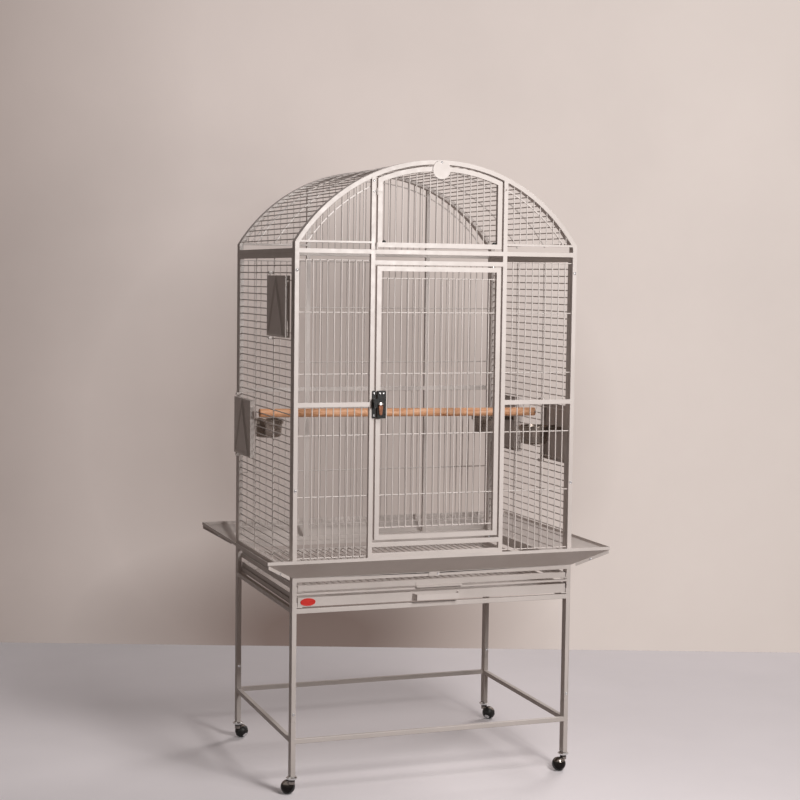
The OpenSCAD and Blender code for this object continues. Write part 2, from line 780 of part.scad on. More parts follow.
module door_pins() {
    color(chrome) {
        rod_z(door_top_z - pin_bite, header_z - tube / 2 + pin_bite, hinge_x, -wall_y, pin_d);
        rod_z(sill_z + tube / 2 - pin_bite, door_foot_z + pin_bite, hinge_x, -wall_y, pin_d);
    }
}
module front_door() {
    out_x = stile_x + tube / 2;
    in_x = stile_x - tube / 2;
    first = door_foot_z + tube / 2 + door_cross_in;
    last = door_top_z - tube / 2 - door_cross_in;
    levels = concat([first], cross_levels(first + bar_pitch, last - bar_pitch), [last]);
    color(paint) {
        difference() {
            upright_plate(front_y, tube) difference() {
                box2(-out_x, out_x, door_foot_z, door_top_z);
                box2(-in_x, in_x, door_foot_z + tube, door_top_z - tube);
            }
            rod_z(door_top_z - pin_reach, door_top_z + over, hinge_x, -wall_y, pin_d + 2 * run_gap);
            rod_z(door_foot_z - over, door_foot_z + pin_reach, hinge_x, -wall_y, pin_d + 2 * run_gap);
        }
        field(spread(-in_x, in_x, bar_pitch), -in_x - weld, in_x + weld,
            first - bar_d / 2, last + bar_d / 2, levels, -wall_y, 1);
    }
}

latch_gap = 3.1;
keeper_lap = 4;
keeper_in = 1;
keeper_x0 = -door_post_x + keeper_in;
keeper_x1 = -door_post_x + tube / 2 + keeper_lap;
case_x0 = keeper_x1 + latch_gap;
case_x1 = case_x0 + latch_w;
lever_in = 1.5;
lever_x = case_x0 + knob_r + lever_in;
latch_edge = 7;
keeper_screw_x = keeper_x0 + (keeper_x1 - keeper_x0) / 2;
keeper_screw_z = [mid_z - latch_h / 2 + latch_edge, mid_z + latch_h / 2 - latch_edge];
case_y = front_y - latch_t;
lever_gap = 0.3;
lever_y = case_y - lever_gap - lever_t;
knob_h = 2.5;
lever_skin = 1;
pivot_l = lever_gap + lever_t - lever_skin;
hook_t = 2.7;
hook_gap = 1;
hook_y = lever_y - hook_gap;
hook_play = 0.8;
hook_room = knob_r + hook_play;

module latch_keeper() {
    z0 = mid_z - latch_h / 2;
    z1 = mid_z + latch_h / 2;
    color(black) {
        difference() {
            union() {
                upright_plate(front_y - keeper_t, keeper_t) rounded(keeper_x0, keeper_x1, z0, z1, latch_r);
                upright_plate(hook_y - hook_t, front_y - hook_y + hook_t)
                    box2(keeper_x0, keeper_x1, mid_z + hook_room, mid_z + hook_room + keeper_t * 3);
                upright_plate(hook_y - hook_t, hook_t)
                    box2(keeper_x0, keeper_x1, mid_z - hook_room, mid_z + hook_room + keeper_t);
            }
            for (z = keeper_screw_z) small_hole_y(keeper_screw_x, front_y - keeper_t, z, keeper_t + over);
        }
    }
}
case_screw_x = [case_x0 + latch_edge, case_x1 - latch_edge];
module case_screw_places() {
    for (x = case_screw_x) translate([x, case_y, keeper_screw_z[1]]) children();
}
module latch_case() {
    z0 = mid_z - latch_h / 2;
    color(black) {
        difference() {
            upright_plate(case_y, latch_t) rounded(case_x0, case_x1, z0, z0 + latch_h, latch_r);
            case_screw_places() rod_y(-over, screw_bite + hole_gap, 0, 0, screw_d + 2 * hole_gap);
        }
        rod_y(case_y - pivot_l, case_y + weld, lever_x, mid_z, pivot_d);
    }
}
module case_screws() {
    color(chrome) case_screw_places() small_screw_y(0, 0, 0, 0);
}
module latch_lever() {
    tip = mid_z - lever_l + lever_tip_r;
    color(chrome) difference() {
        union() {
            upright_plate(lever_y, lever_t) {
                translate([lever_x, mid_z]) circle(knob_r);
                translate([lever_x, tip]) circle(lever_tip_r);
                polygon([
                    [lever_x - knob_r, mid_z], [lever_x + knob_r, mid_z],
                    [lever_x + lever_tip_r, tip], [lever_x - lever_tip_r, tip],
                ]);
            }
            translate([lever_x, lever_y, mid_z]) rotate([-90, 0, 0]) screw(2 * knob_r, knob_h, pivot_d, weld);
        }
        rod_y(lever_y + lever_skin - hole_gap, case_y, lever_x, mid_z, pivot_d + 2 * run_gap);
    }
}

// Dome door

dome_r = arch_r - tube - dome_gap;
dome_foot_z = side_top + tube + dome_foot_gap;
dome_hinge_x = -door_post_x + tube / 2 + door_side_gap / 2;
dome_hinge_y = front_y - dome_hinge_out;
upper_hinge_z = dome_rail_z + upper_hinge_h;
lower_hinge_z = dome_foot_z - tube / 2;
leaf_w = 11.5;
leaf_h = 46;
leaf_screw_z = [upper_hinge_z + knuckle_h, upper_hinge_z + leaf_h - knuckle_h];
hinge_levels = [lower_hinge_z, upper_hinge_z];
knuckle_gap = 0.2;

module door_leaf(z, h) {
    difference() {
        union() {
            upright_plate(front_y - leaf_t, leaf_t + weld)
                box2(dome_hinge_x + door_side_gap / 2, dome_hinge_x + door_side_gap / 2 + tube, z, z + h);
            upright_plate(front_y - leaf_t, leaf_t)
                box2(dome_hinge_x, dome_hinge_x + door_side_gap / 2 + weld, z, z + h);
            rod_z(z, z + h, dome_hinge_x, dome_hinge_y, knuckle_d);
        }
        rod_z(z - over, z + h + over, dome_hinge_x, dome_hinge_y, hinge_pin_d + 2 * run_gap);
    }
}
module dome_hinge_leaves() {
    x = -door_post_x - tube / 2;
    color(paint) difference() {
        for (z = hinge_levels) {
            h = z == upper_hinge_z ? leaf_h : knuckle_h;
            upright_plate(front_y - leaf_t, leaf_t) {
                box2(x, x + leaf_w, z, z + h);
                box2(x, dome_hinge_x, z, z + knuckle_h);
            }
            rod_z(z, z + knuckle_h, dome_hinge_x, dome_hinge_y, knuckle_d);
            rod_z(z, z + 2 * knuckle_h + knuckle_gap, dome_hinge_x, dome_hinge_y, hinge_pin_d);
        }
        for (z = leaf_screw_z) small_hole_y(-door_post_x, front_y - leaf_t, z, leaf_t + over);
    }
}
module dome_door() {
    out_x = stile_x + tube / 2;
    in_x = stile_x - tube / 2;
    inner_r = dome_r - tube / 2;
    color(paint) {
        upright_plate(front_y, tube) {
            intersection() {
                arch_ring(dome_r, tube);
                box2(-out_x, out_x, dome_foot_z, dome_foot_z + big);
            }
            for (s = [-1, 1])
                box2(s * stile_x - tube / 2, s * stile_x + tube / 2,
                    dome_foot_z, arch_height(dome_r, stile_x));
            box2(-out_x, out_x, dome_foot_z, dome_foot_z + tube);
        }
        for (x = spread(-in_x, in_x, bar_pitch))
            rod_z(dome_foot_z + tube / 2, arch_height(dome_r, x), x, -wall_y);
        for (z = hinge_levels) door_leaf(z + knuckle_h + knuckle_gap, knuckle_h);
    }
}
disc_z = arch_z + arch_r - disc_drop;
disc_screw_z = arch_z + arch_r;
disc_play = 3;
disc_screw_short = 1;
disc_y = front_y - catch_gap - disc_t;
module lock_disc() {
    color(paint) upright_plate(disc_y, disc_t) difference() {
        translate([0, disc_z]) circle(d = disc_d);
        translate([0, disc_screw_z]) circle(d = screw_d + 2 * hole_gap);
    }
}
module disc_screw() {
    color(chrome) small_screw_y(0, disc_y, disc_screw_z, disc_t - disc_screw_short);
}
bumper_gap = 1;
module dome_bumpers() {
    x = stile_x - tube / 2 - bumper_d / 2 - bumper_gap;
    z = dome_foot_z + tube;
    color(black) for (s = [-1, 1]) translate([s * x, -wall_y, z]) mirror([0, 0, 1]) dome(bumper_d, bumper_h);
}
module small_screws() {
    color(chrome) {
        for (z = keeper_screw_z) small_screw_y(keeper_screw_x, front_y - keeper_t, z, keeper_t);
        for (z = leaf_screw_z) small_screw_y(-door_post_x, front_y - leaf_t, z, leaf_t);
        small_screw_y(catch_x, front_y - catch_gap - catch_t, catch_z, catch_gap + catch_t);
        for (s = [-1, 1], e = [-1, 1])
            translate([s * (half_w + skirt_bend), e * (half_d + skirt_bend), 0])
                rotate([0, 0, atan2(e * skirt_y, s * skirt_x)])
                    translate([skirt_screw_s, 0, skirt_screw_z])
                        rotate([s * e * 90, 0, 0]) translate([0, 0, -seat_gap - skirt_t])
                            screw(screw_head_d, screw_head_h, screw_d, skirt_screw_l);
    }
}

// Feeders

feeder_far = bay_y - post_clear;
feeder_near = upright_y - upright_lap;
function feeder_y0(e) = e < 0 ? -feeder_far : feeder_near;
function feeder_y1(e) = e < 0 ? -feeder_near : feeder_far;
function feeder_z0(row) = row_z(row) - feeder_lap;
function feeder_z1(row) = row_z(row + feeder_rows) + feeder_lap;
pan_gap = 2.5;
pan_x = half_w + pan_gap;
pan_face = pan_x + feeder_t;
feeder_hinge_x = half_w + feeder_hinge_out;
feeder_hinge_off = 2.5;
knuckle_run = 25;
knuckle_in = 10;
lug_h = 8;
lug_w = 10;
lug_wall = 2.5;
lock_hole_d = 4.5;
lock_hole_drop = 14;
lock_slot_z = 5;
lock_slot_l = 39;
lock_slot_w = 2;
crease_in = 18;
crease_foot = 6;
crease_top = 12;

// A feeder door on the right wall, hinged at its rear edge
module feeder_door(e, row) {
    y0 = feeder_y0(e);
    y1 = feeder_y1(e);
    z0 = feeder_z0(row);
    z1 = feeder_z1(row);
    hinge_y = y1 + feeder_hinge_off;
    lock_x = pan_x + feeder_t / 2;
    difference() {
        union() {
            difference() {
                translate([pan_x, y0, z0]) cube([feeder_t, y1 - y0, z1 - z0]);
                translate([pan_x - over, y0 + feeder_sheet, z0 + feeder_sheet]) cube([
                    feeder_t + over - feeder_sheet, y1 - y0 - 2 * feeder_sheet, z1 - z0 - 2 * feeder_sheet,
                ]);
            }
            translate([pan_face - feeder_sheet / 2, 0, 0]) rotate([90, 0, 90])
                linear_extrude(crease_h + feeder_sheet / 2) polygon([
                    [y0 + crease_in, z0 + crease_foot],
                    [y1 - crease_in, z0 + crease_foot],
                    [(y0 + y1) / 2, z1 - crease_top],
                ]);
            for (z = [z0 + knuckle_in, z1 - knuckle_in - knuckle_run])
                rod_z(z, z + knuckle_run, feeder_hinge_x, hinge_y, feeder_knuckle_d);
        }
        for (z = [z0 + knuckle_in, z1 - knuckle_in - knuckle_run])
            rod_z(z - over, z + knuckle_run + over, feeder_hinge_x, hinge_y, rod_d + 2 * run_gap);
        for (z = [z1 - lock_hole_drop, z0 + lock_slot_z + lock_slot_l / 2])
            rod_y(y0 - over, y0 + feeder_sheet + over, lock_x, z, lock_hole_d);
        beam_z(z0 + lock_slot_z, z0 + lock_slot_z + lock_slot_l, lock_x, y0,
            lock_slot_w, 2 * (feeder_sheet + over));
    }
}
// The rod that a feeder door turns on, held by two lugs at the wall
module feeder_rod(e, row) {
    y = feeder_y1(e) + feeder_hinge_off;
    back = e < 0 ? post_x + bar_d / 2 + hole_gap : half_w;
    ends = [row_z(row - 1), row_z(row + feeder_rows + 1)];
    rod_z(ends[0] - lug_h / 2, ends[1] + lug_h / 2, feeder_hinge_x, y, rod_d);
    for (z = ends)
        beam_x(back, feeder_hinge_x + rod_d / 2 + lug_wall, y, z, lug_w, lug_h);
}
module feeder_hinge_rods() {
    color(paint) {
        mirror([1, 0, 0]) feeder_rod(-1, high_row);
        mirror([1, 0, 0]) feeder_rod(1, low_row);
        feeder_rod(-1, low_row);
        feeder_rod(1, low_row);
    }
}
module feeder_door_left_front() {
    color(paint) mirror([1, 0, 0]) feeder_door(-1, high_row);
}
module feeder_door_left_rear() {
    color(paint) mirror([1, 0, 0]) feeder_door(1, low_row);
}
module feeder_door_right_front() {
    color(paint) feeder_door(-1, low_row);
}
module feeder_door_right_rear() {
    color(paint) feeder_door(1, low_row);
}

cup_x = half_w - cup_in;
cup_rim_z = feeder_z0(low_row) + cup_rim_h;
cup_wall_r = cup_d / 2 - cup_lip;
cup_lip_t = 2;
ring_in_r = cup_wall_r + cup_gap;
ring_arm_y = 28;

module cup_ring(e) {
    y = (feeder_y0(e) + feeder_y1(e)) / 2;
    top = cup_rim_z - cup_lip_t - ride_gap;
    difference() {
        union() {
            rod_z(top - ring_h, top, cup_x, y, 2 * (ring_in_r + ring_t));
            for (a = [-1, 1])
                beam_x(cup_x, pan_face - feeder_sheet, y + a * ring_arm_y, top - ring_h / 2, ring_t, ring_h);
        }
        rod_z(top - ring_h - over, top + over, cup_x, y, 2 * ring_in_r);
    }
}
module cup(e) {
    r0 = cup_wall_r - cup_taper;
    translate([cup_x, (feeder_y0(e) + feeder_y1(e)) / 2, cup_rim_z - cup_h]) rotate_extrude() polygon([
        [0, 0], [r0, 0], [cup_wall_r, cup_h - cup_lip_t], [cup_d / 2, cup_h - cup_lip_t], [cup_d / 2, cup_h],
        [cup_wall_r - cup_t, cup_h], [r0 - cup_t, cup_t], [0, cup_t],
    ]);
}
module cup_ring_left_rear() {
    color(paint) mirror([1, 0, 0]) cup_ring(1);
}
module cup_ring_right_front() {
    color(paint) cup_ring(-1);
}
module cup_ring_right_rear() {
    color(paint) cup_ring(1);
}
module cup_left_rear() {
    color(steel) mirror([1, 0, 0]) cup(1);
}
module cup_right_front() {
    color(steel) cup(-1);
}
module cup_right_rear() {
    color(steel) cup(1);
}

// Grate and tray

slide_x = bay_x - runner_t - slide_gap;
slide_y0 = front_y + slide_in;
slide_y1 = half_d - tube - slide_in;
grate_bar_z = grate_z + grate_h - bar_d;
pull_rise = 6.5;
pull_bend = 1;
pull_foot = 5;
pull_lip = 3;
handle_slope = 5;

module grate() {
    x = slide_x - grate_bar_w;
    y0 = slide_y0 + grate_bar_w;
    y1 = slide_y1 - grate_bar_w;
    color(paint) {
        translate([0, 0, grate_z]) linear_extrude(grate_h) difference() {
            box2(-slide_x, slide_x, slide_y0, slide_y1);
            box2(-x, x, y0, y1);
        }
        for (bar = spread(-x, x, bar_pitch)) rod_y(y0 - weld, y1 + weld, bar, grate_bar_z);
        for (y = [y0 + (y1 - y0) / 4, (y0 + y1) / 2, y1 - (y1 - y0) / 4])
            rod_x(-x - weld, x + weld, y, grate_bar_z - bar_d + weld);
    }
}
// The pull's bent section, seen from the left: a flange, a slope outwards and a lip
module grate_pull() {
    face = slide_y0;
    z1 = grate_z + grate_h - pull_rise;
    z2 = grate_z + pull_bend;
    z3 = grate_z - pull_foot + pull_lip;
    out = face - strap_t - pull_out;
    color(paint) translate([pull_x - pull_w / 2, 0, 0]) rotate([90, 0, 90]) linear_extrude(pull_w) polygon([
        [face, z1], [face - strap_t, z1], [face - strap_t, z2], [out, z3], [out, z3 - pull_lip],
        [out + strap_t, z3 - pull_lip], [out + strap_t, z3 - strap_t / 2], [face, z2 - strap_t / 2],
    ]);
}
module grate_catch() {
    y = front_y - catch_gap - catch_t;
    color(paint) upright_plate(y, catch_t) difference() {
        union() {
            box2(catch_x - catch_l + catch_w, catch_x, catch_z - catch_w / 2, catch_z + catch_w / 2);
            for (x = [catch_x, catch_x - catch_l + catch_w]) translate([x, catch_z]) circle(d = catch_w);
        }
        translate([catch_x, catch_z]) circle(d = screw_d + 2 * run_gap);
    }
}
module tray() {
    color(paint) difference() {
        translate([-slide_x, slide_y0, tray_z]) cube([2 * slide_x, slide_y1 - slide_y0, tray_h]);
        translate([-slide_x + tray_t, slide_y0 + tray_t, tray_z + tray_t])
            cube([2 * (slide_x - tray_t), slide_y1 - slide_y0 - 2 * tray_t, tray_h]);
    }
}
module tray_handle() {
    w = pull_w / 2;
    color(paint) translate([0, slide_y0, tray_z + (tray_h - handle_h) / 2]) linear_extrude(handle_h) polygon([
        [-w, 0], [-w + handle_slope, -handle_out], [w - handle_slope, -handle_out], [w, 0],
        [w - strap_t, 0], [w - handle_slope - strap_t, -handle_out + strap_t],
        [-w + handle_slope + strap_t, -handle_out + strap_t], [-w + strap_t, 0],
    ]);
}

// Casters

wheel_r = wheel_d / 2;
ball_gap = 0.4;
hood_in = 0.8;
race_h = 5;
race_edge = 1.5;
race_slope = 4.5;
swivel_gap = 0.3;
head_z = caster_h - race_h - swivel_gap;
head_edge = 2;
head_slope = 3;
neck_l = 16;
swivel_l = 11;
cap_h = 1.8;
cap_seat = 2;
cap_z = wheel_r - cap_seat + swivel_gap;
axle_bite = 10;

module caster_places() {
    for (s = [-1, 1], e = [-1, 1]) translate([s * post_x, e * leg_y, 0]) children();
}
module caster_stems() {
    color(chrome) caster_places() {
        rod_z(caster_h - race_h, caster_h + stem_l, 0, 0, stem_d);
        rod_z(head_z - swivel_l, caster_h, 0, 0, swivel_d);
        rotate_extrude() polygon([
            [0, caster_h], [race_d / 2 - race_slope, caster_h], [race_d / 2, caster_h - race_h + race_edge],
            [race_d / 2, caster_h - race_h], [0, caster_h - race_h],
        ]);
    }
}
module caster_at(s, e, turn) {
    translate([s * post_x, e * leg_y, 0]) rotate([0, 0, turn]) children();
}
// The ball of a caster that trails along +X, with +Z along its axle from the hood into the wheel
module at_ball() {
    translate([trail, 0, wheel_r]) rotate([90 + axle_tilt, 0, 0]) children();
}
// The part of a ball that lies between two levels
module ball_slice(r, low, high) {
    intersection() {
        sphere(r = r);
        translate([0, 0, low]) cylinder(r = r + over, h = high - low);
    }
}
// The hooded fork: half a ball, and the neck that carries it
module fork() {
    foot = head_z - neck_l;
    color(chrome) difference() {
        union() {
            at_ball() sphere(r = wheel_r - hood_in);
            rotate_extrude() polygon([
                [0, head_z], [head_d / 2, head_z], [head_d / 2, head_z - head_edge],
                [neck_d / 2, head_z - head_edge - head_slope], [neck_d / 2, foot], [0, foot],
            ]);
        }
        at_ball() ball_slice(wheel_r + hood_in, -ball_gap, wheel_r + over);
        at_ball() translate([0, 0, -axle_bite - hole_gap])
            cylinder(d = axle_d + 2 * hole_gap, h = axle_bite + over);
        rod_z(head_z - swivel_l - hole_gap, head_z + over, 0, 0, swivel_d + 2 * run_gap);
    }
}
module wheel() {
    color(black) at_ball() difference() {
        ball_slice(wheel_r, ball_gap, wheel_r - cap_seat);
        translate([0, 0, -over]) cylinder(d = axle_d + 2 * run_gap, h = wheel_r + 2 * over);
    }
}
// The axle, fast in the hood, with its cap over the wheel's outer end
module axle() {
    color(chrome) at_ball() translate([0, 0, cap_z]) mirror([0, 0, 1])
        screw(cap_d, cap_h, axle_d, cap_z + axle_bite);
}
module caster_fork_fl() {
    caster_at(-1, -1, turn_fl) fork();
}
module caster_fork_fr() {
    caster_at(1, -1, turn_fr) fork();
}
module caster_fork_rl() {
    caster_at(-1, 1, turn_rl) fork();
}
module caster_fork_rr() {
    caster_at(1, 1, turn_rr) fork();
}
module caster_wheel_fl() {
    caster_at(-1, -1, turn_fl) wheel();
}
module caster_wheel_fr() {
    caster_at(1, -1, turn_fr) wheel();
}
module caster_wheel_rl() {
    caster_at(-1, 1, turn_rl) wheel();
}
module caster_wheel_rr() {
    caster_at(1, 1, turn_rr) wheel();
}
module caster_axle_fl() {
    caster_at(-1, -1, turn_fl) axle();
}
module caster_axle_fr() {
    caster_at(1, -1, turn_fr) axle();
}
module caster_axle_rl() {
    caster_at(-1, 1, turn_rl) axle();
}
module caster_axle_rr() {
    caster_at(1, 1, turn_rr) axle();
}

front_frame();
front_grille();
rear_frame();
rear_grille();
left_frame();
left_grille();
right_frame();
right_grille();
roof_frame();
roof_grille();
stand_frame();
base_frame();
skirt_front();
skirt_rear();
skirt_left();
skirt_right();
perch();
frame_bolts();
door_pins();
latch_keeper();
small_screws();
dome_hinge_leaves();
feeder_hinge_rods();
caster_stems();
front_door();
latch_case();
case_screws();
latch_lever();
dome_door();
lock_disc();
disc_screw();
dome_bumpers();
feeder_door_left_front();
feeder_door_left_rear();
feeder_door_right_front();
feeder_door_right_rear();
cup_ring_left_rear();
cup_ring_right_front();
cup_ring_right_rear();
cup_left_rear();
cup_right_front();
cup_right_rear();
grate();
grate_pull();
grate_catch();
tray();
tray_handle();
caster_fork_fl();
caster_fork_fr();
caster_fork_rl();
caster_fork_rr();
caster_wheel_fl();
caster_wheel_fr();
caster_wheel_rl();
caster_wheel_rr();
caster_axle_fl();
caster_axle_fr();
caster_axle_rl();
caster_axle_rr();
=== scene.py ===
"""Looks of the dome top parrot cage: camera, studio, materials and fine detail round the CAD frame."""
import json
import math

import bmesh
import bpy
from mathutils import Matrix, Vector


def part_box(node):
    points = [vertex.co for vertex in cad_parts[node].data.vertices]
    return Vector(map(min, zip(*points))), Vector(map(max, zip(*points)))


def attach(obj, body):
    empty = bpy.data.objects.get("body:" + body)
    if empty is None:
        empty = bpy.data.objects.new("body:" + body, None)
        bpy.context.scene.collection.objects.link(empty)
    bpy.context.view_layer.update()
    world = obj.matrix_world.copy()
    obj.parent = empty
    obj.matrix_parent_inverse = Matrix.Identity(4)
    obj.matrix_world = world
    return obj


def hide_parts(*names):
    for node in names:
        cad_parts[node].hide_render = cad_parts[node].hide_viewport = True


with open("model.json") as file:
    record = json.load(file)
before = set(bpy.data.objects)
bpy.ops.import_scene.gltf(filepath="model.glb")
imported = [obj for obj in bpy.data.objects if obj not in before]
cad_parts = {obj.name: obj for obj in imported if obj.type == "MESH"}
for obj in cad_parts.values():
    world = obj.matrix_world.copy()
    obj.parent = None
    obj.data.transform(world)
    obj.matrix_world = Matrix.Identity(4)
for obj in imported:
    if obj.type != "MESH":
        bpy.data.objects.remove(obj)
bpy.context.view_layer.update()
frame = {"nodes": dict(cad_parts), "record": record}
nodes = frame["nodes"]
slot_of = {p["node"]: p["material_slot"] for p in frame["record"]["subparts"]}
MM = 0.001

# Camera, as solved from the photograph: metres, radians, and focal length in pixels of an 800 pixel frame
CAM_PLACE = (-1.6351, -4.5576, 1.3900)
CAM_YAW = 0.34438
CAM_PITCH = -0.07329
CAM_ROLL = 0.01274
FOCAL_PX = 1688.25
FRAME_PX = 800
# Width of the sensor in millimetres, and how far the camera sees in metres
SENSOR_MM = 36.0
CAM_REACH = 60
# Level direction to the camera's right
CAM_LEVEL = Vector((math.cos(CAM_YAW), -math.sin(CAM_YAW), 0))


def add_camera():
    """The camera at the photograph's place, with its small roll."""
    data = bpy.data.cameras.new("camera")
    data.sensor_fit = "HORIZONTAL"
    data.sensor_width = SENSOR_MM
    data.lens = SENSOR_MM * FOCAL_PX / FRAME_PX
    data.clip_end = CAM_REACH
    ahead = Vector((
        math.sin(CAM_YAW) * math.cos(CAM_PITCH),
        math.cos(CAM_YAW) * math.cos(CAM_PITCH),
        math.sin(CAM_PITCH),
    ))
    up = CAM_LEVEL.cross(ahead)
    right = math.cos(CAM_ROLL) * CAM_LEVEL + math.sin(CAM_ROLL) * up
    top = -math.sin(CAM_ROLL) * CAM_LEVEL + math.cos(CAM_ROLL) * up
    turn = Matrix((right, top, -ahead)).transposed()
    camera = bpy.data.objects.new("camera", data)
    camera.matrix_world = Matrix.Translation(CAM_PLACE) @ turn.to_4x4()
    bpy.context.scene.collection.objects.link(camera)
    bpy.context.scene.camera = camera


# Materials

# Places of the colour sockets of a Mix node
MIX_A = 6
MIX_B = 7
MIX_RESULT = 2


class Shader:
    """A node material with a Principled shader, and helpers that chain nodes."""

    def __init__(self, name):
        self.material = bpy.data.materials.new(name)
        self.material.use_nodes = True
        self.tree = self.material.node_tree
        self.bsdf = self.tree.nodes["Principled BSDF"]
        self.place = self.node("ShaderNodeTexCoord").outputs["Object"]

    def node(self, kind, **values):
        made = self.tree.nodes.new(kind)
        for key, value in values.items():
            setattr(made, key, value)
        return made

    def link(self, out, socket):
        self.tree.links.new(out, socket)

    def set(self, **values):
        """Set inputs of the Principled shader, named with _ for each blank."""
        for key, value in values.items():
            self.bsdf.inputs[key.replace("_", " ")].default_value = value

    def stretched(self, scale, move=(0, 0, 0)):
        """Places in metres, scaled and then moved."""
        mapping = self.node("ShaderNodeMapping")
        mapping.inputs["Scale"].default_value = scale
        mapping.inputs["Location"].default_value = move
        self.link(self.place, mapping.inputs["Vector"])
        return mapping.outputs["Vector"]

    def axis(self, name, place=None):
        """One coordinate, X, Y or Z, of a place."""
        made = self.node("ShaderNodeSeparateXYZ")
        self.link(place or self.place, made.inputs["Vector"])
        return made.outputs[name]

    def noise(self, scale, detail, rough=0.5, place=None, distortion=0.0):
        made = self.node("ShaderNodeTexNoise")
        made.inputs["Scale"].default_value = scale
        made.inputs["Detail"].default_value = detail
        made.inputs["Roughness"].default_value = rough
        made.inputs["Distortion"].default_value = distortion
        self.link(place or self.place, made.inputs["Vector"])
        return made.outputs["Fac"]

    def ramp(self, value, stops):
        """A colour by a value from 0 to 1, by stops of (position, colour)."""
        made = self.node("ShaderNodeValToRGB")
        ramp = made.color_ramp
        for element, (position, colour) in zip(ramp.elements, (stops[0], stops[-1])):
            element.position = position
            element.color = (*colour, 1)
        for position, colour in stops[1:-1]:
            ramp.elements.new(position).color = (*colour, 1)
        self.link(value, made.inputs["Fac"])
        return made.outputs["Color"]

    def spread(self, value, low, high, from_low=0.3, from_high=0.7):
        """Draw a value's range, by default a noise's, out to low and high."""
        made = self.node("ShaderNodeMapRange")
        made.inputs["From Min"].default_value = from_low
        made.inputs["From Max"].default_value = from_high
        made.inputs["To Min"].default_value = low
        made.inputs["To Max"].default_value = high
        self.link(value, made.inputs["Value"])
        return made.outputs["Result"]

    def multiply(self, a, b, share=1.0):
        """Colour a, darkened by colour b to a share."""
        made = self.node("ShaderNodeMix", data_type="RGBA", blend_type="MULTIPLY")
        made.inputs["Factor"].default_value = share
        self.link(a, made.inputs[MIX_A])
        self.link(b, made.inputs[MIX_B])
        return made.outputs[MIX_RESULT]

    def colour(self, out):
        self.link(out, self.bsdf.inputs["Base Color"])

    def roughness(self, out):
        self.link(out, self.bsdf.inputs["Roughness"])

    def bump(self, height, strength, distance):
        made = self.node("ShaderNodeBump")
        made.inputs["Strength"].default_value = strength
        made.inputs["Distance"].default_value = distance
        self.link(height, made.inputs["Height"])
        self.link(made.outputs["Normal"], self.bsdf.inputs["Normal"])

    def mix_shaders(self, share, first, second):
        made = self.node("ShaderNodeMixShader")
        for out, socket in zip((share, first, second), made.inputs):
            self.link(out, socket)
        return made.outputs["Shader"]

    def surface(self, out):
        self.link(out, self.tree.nodes["Material Output"].inputs["Surface"])


def grey(level):
    return (level, level, level)


def paint():
    """Pale warm grey powder coat: a fine orange peel, faint cloudiness and a grain of flakes."""
    s = Shader("paint")
    cloud = s.ramp(s.noise(9, detail=4), [(0.3, (0.60, 0.544, 0.513)), (0.7, (0.665, 0.604, 0.574))])
    grain = s.ramp(s.noise(1600, detail=2), [(0.35, grey(0.90)), (0.65, grey(1.0))])
    s.colour(s.multiply(cloud, grain, share=0.6))
    s.roughness(s.spread(s.noise(60, detail=4), 0.36, 0.48))
    s.bump(s.noise(520, detail=2), strength=0.12, distance=0.0004)
    s.set(Specular_IOR_Level=0.45)
    return s.material


def chrome():
    """Bright plated steel with faint smears and fine scratches."""
    s = Shader("chrome")
    s.colour(s.ramp(s.noise(140, detail=4), [(0.3, (0.60, 0.61, 0.62)), (0.7, (0.74, 0.745, 0.75))]))
    s.roughness(s.spread(s.noise(320, detail=5), 0.08, 0.24))
    s.bump(s.noise(2400, detail=3, place=s.stretched((1, 0.15, 1))), strength=0.06, distance=0.0001)
    s.set(Metallic=1.0)
    return s.material


# Heights, in metres, between which the tones of the caster hoods and of the latch lever run, with their
# painted shade, reflection and highlight
HOOD_TONES = (0.020, 0.045)
LEVER_TONES = (1.043, 1.050)


def plated_hood():
    """Caster hood: a bright head over a dark band of painted shade in the gap, and a smeared ball darkened
    as a painted reflection of dark surroundings, which turns black low down.
    """
    s = Shader("plated_hood")
    # Painted shade in the dark band under the head, and painted reflection in the dark tones of the ball
    tone = s.ramp(s.spread(s.axis("Z"), 0.0, 1.0, *HOOD_TONES), [
        (0.0, (0.025, 0.022, 0.021)), (0.30, (0.035, 0.031, 0.029)), (0.44, (0.30, 0.27, 0.25)),
        (0.68, (0.34, 0.31, 0.29)), (0.74, (0.05, 0.045, 0.04)), (0.84, (0.06, 0.05, 0.045)),
        (0.88, grey(0.80)),
    ])
    smear = s.ramp(s.noise(160, detail=5), [(0.3, grey(0.72)), (0.7, grey(1.0))])
    s.colour(s.multiply(tone, smear))
    s.roughness(s.spread(s.noise(320, detail=5), 0.07, 0.20))
    s.bump(s.noise(2000, detail=3), strength=0.05, distance=0.0001)
    s.set(Metallic=1.0)
    return s.material


def nickel():
    """Plated screw: a fine grain, darker in patches."""
    s = Shader("nickel")
    s.colour(s.ramp(s.noise(500, detail=4), [(0.3, (0.52, 0.52, 0.53)), (0.7, (0.80, 0.80, 0.81))]))
    s.roughness(s.spread(s.noise(900, detail=4), 0.18, 0.36))
    s.bump(s.noise(3000, detail=3), strength=0.08, distance=0.0001)
    s.set(Metallic=1.0)
    return s.material


def stainless():
    """Spun sheet: rings of fine brush marks round the cup, in a dark brown that is a painted reflection of
    dark surroundings.
    """
    s = Shader("stainless")
    rings = s.noise(900, detail=4, rough=0.7, place=s.stretched((0.01, 0.01, 1)))
    # Painted reflection: the dark brown tone stands for the dark room that the cups mirror
    s.colour(s.ramp(s.noise(40, detail=4), [(0.3, (0.20, 0.165, 0.14)), (0.7, (0.33, 0.285, 0.25))]))
    s.roughness(s.spread(rings, 0.16, 0.34))
    s.bump(rings, strength=0.10, distance=0.0002)
    s.set(Metallic=1.0)
    return s.material


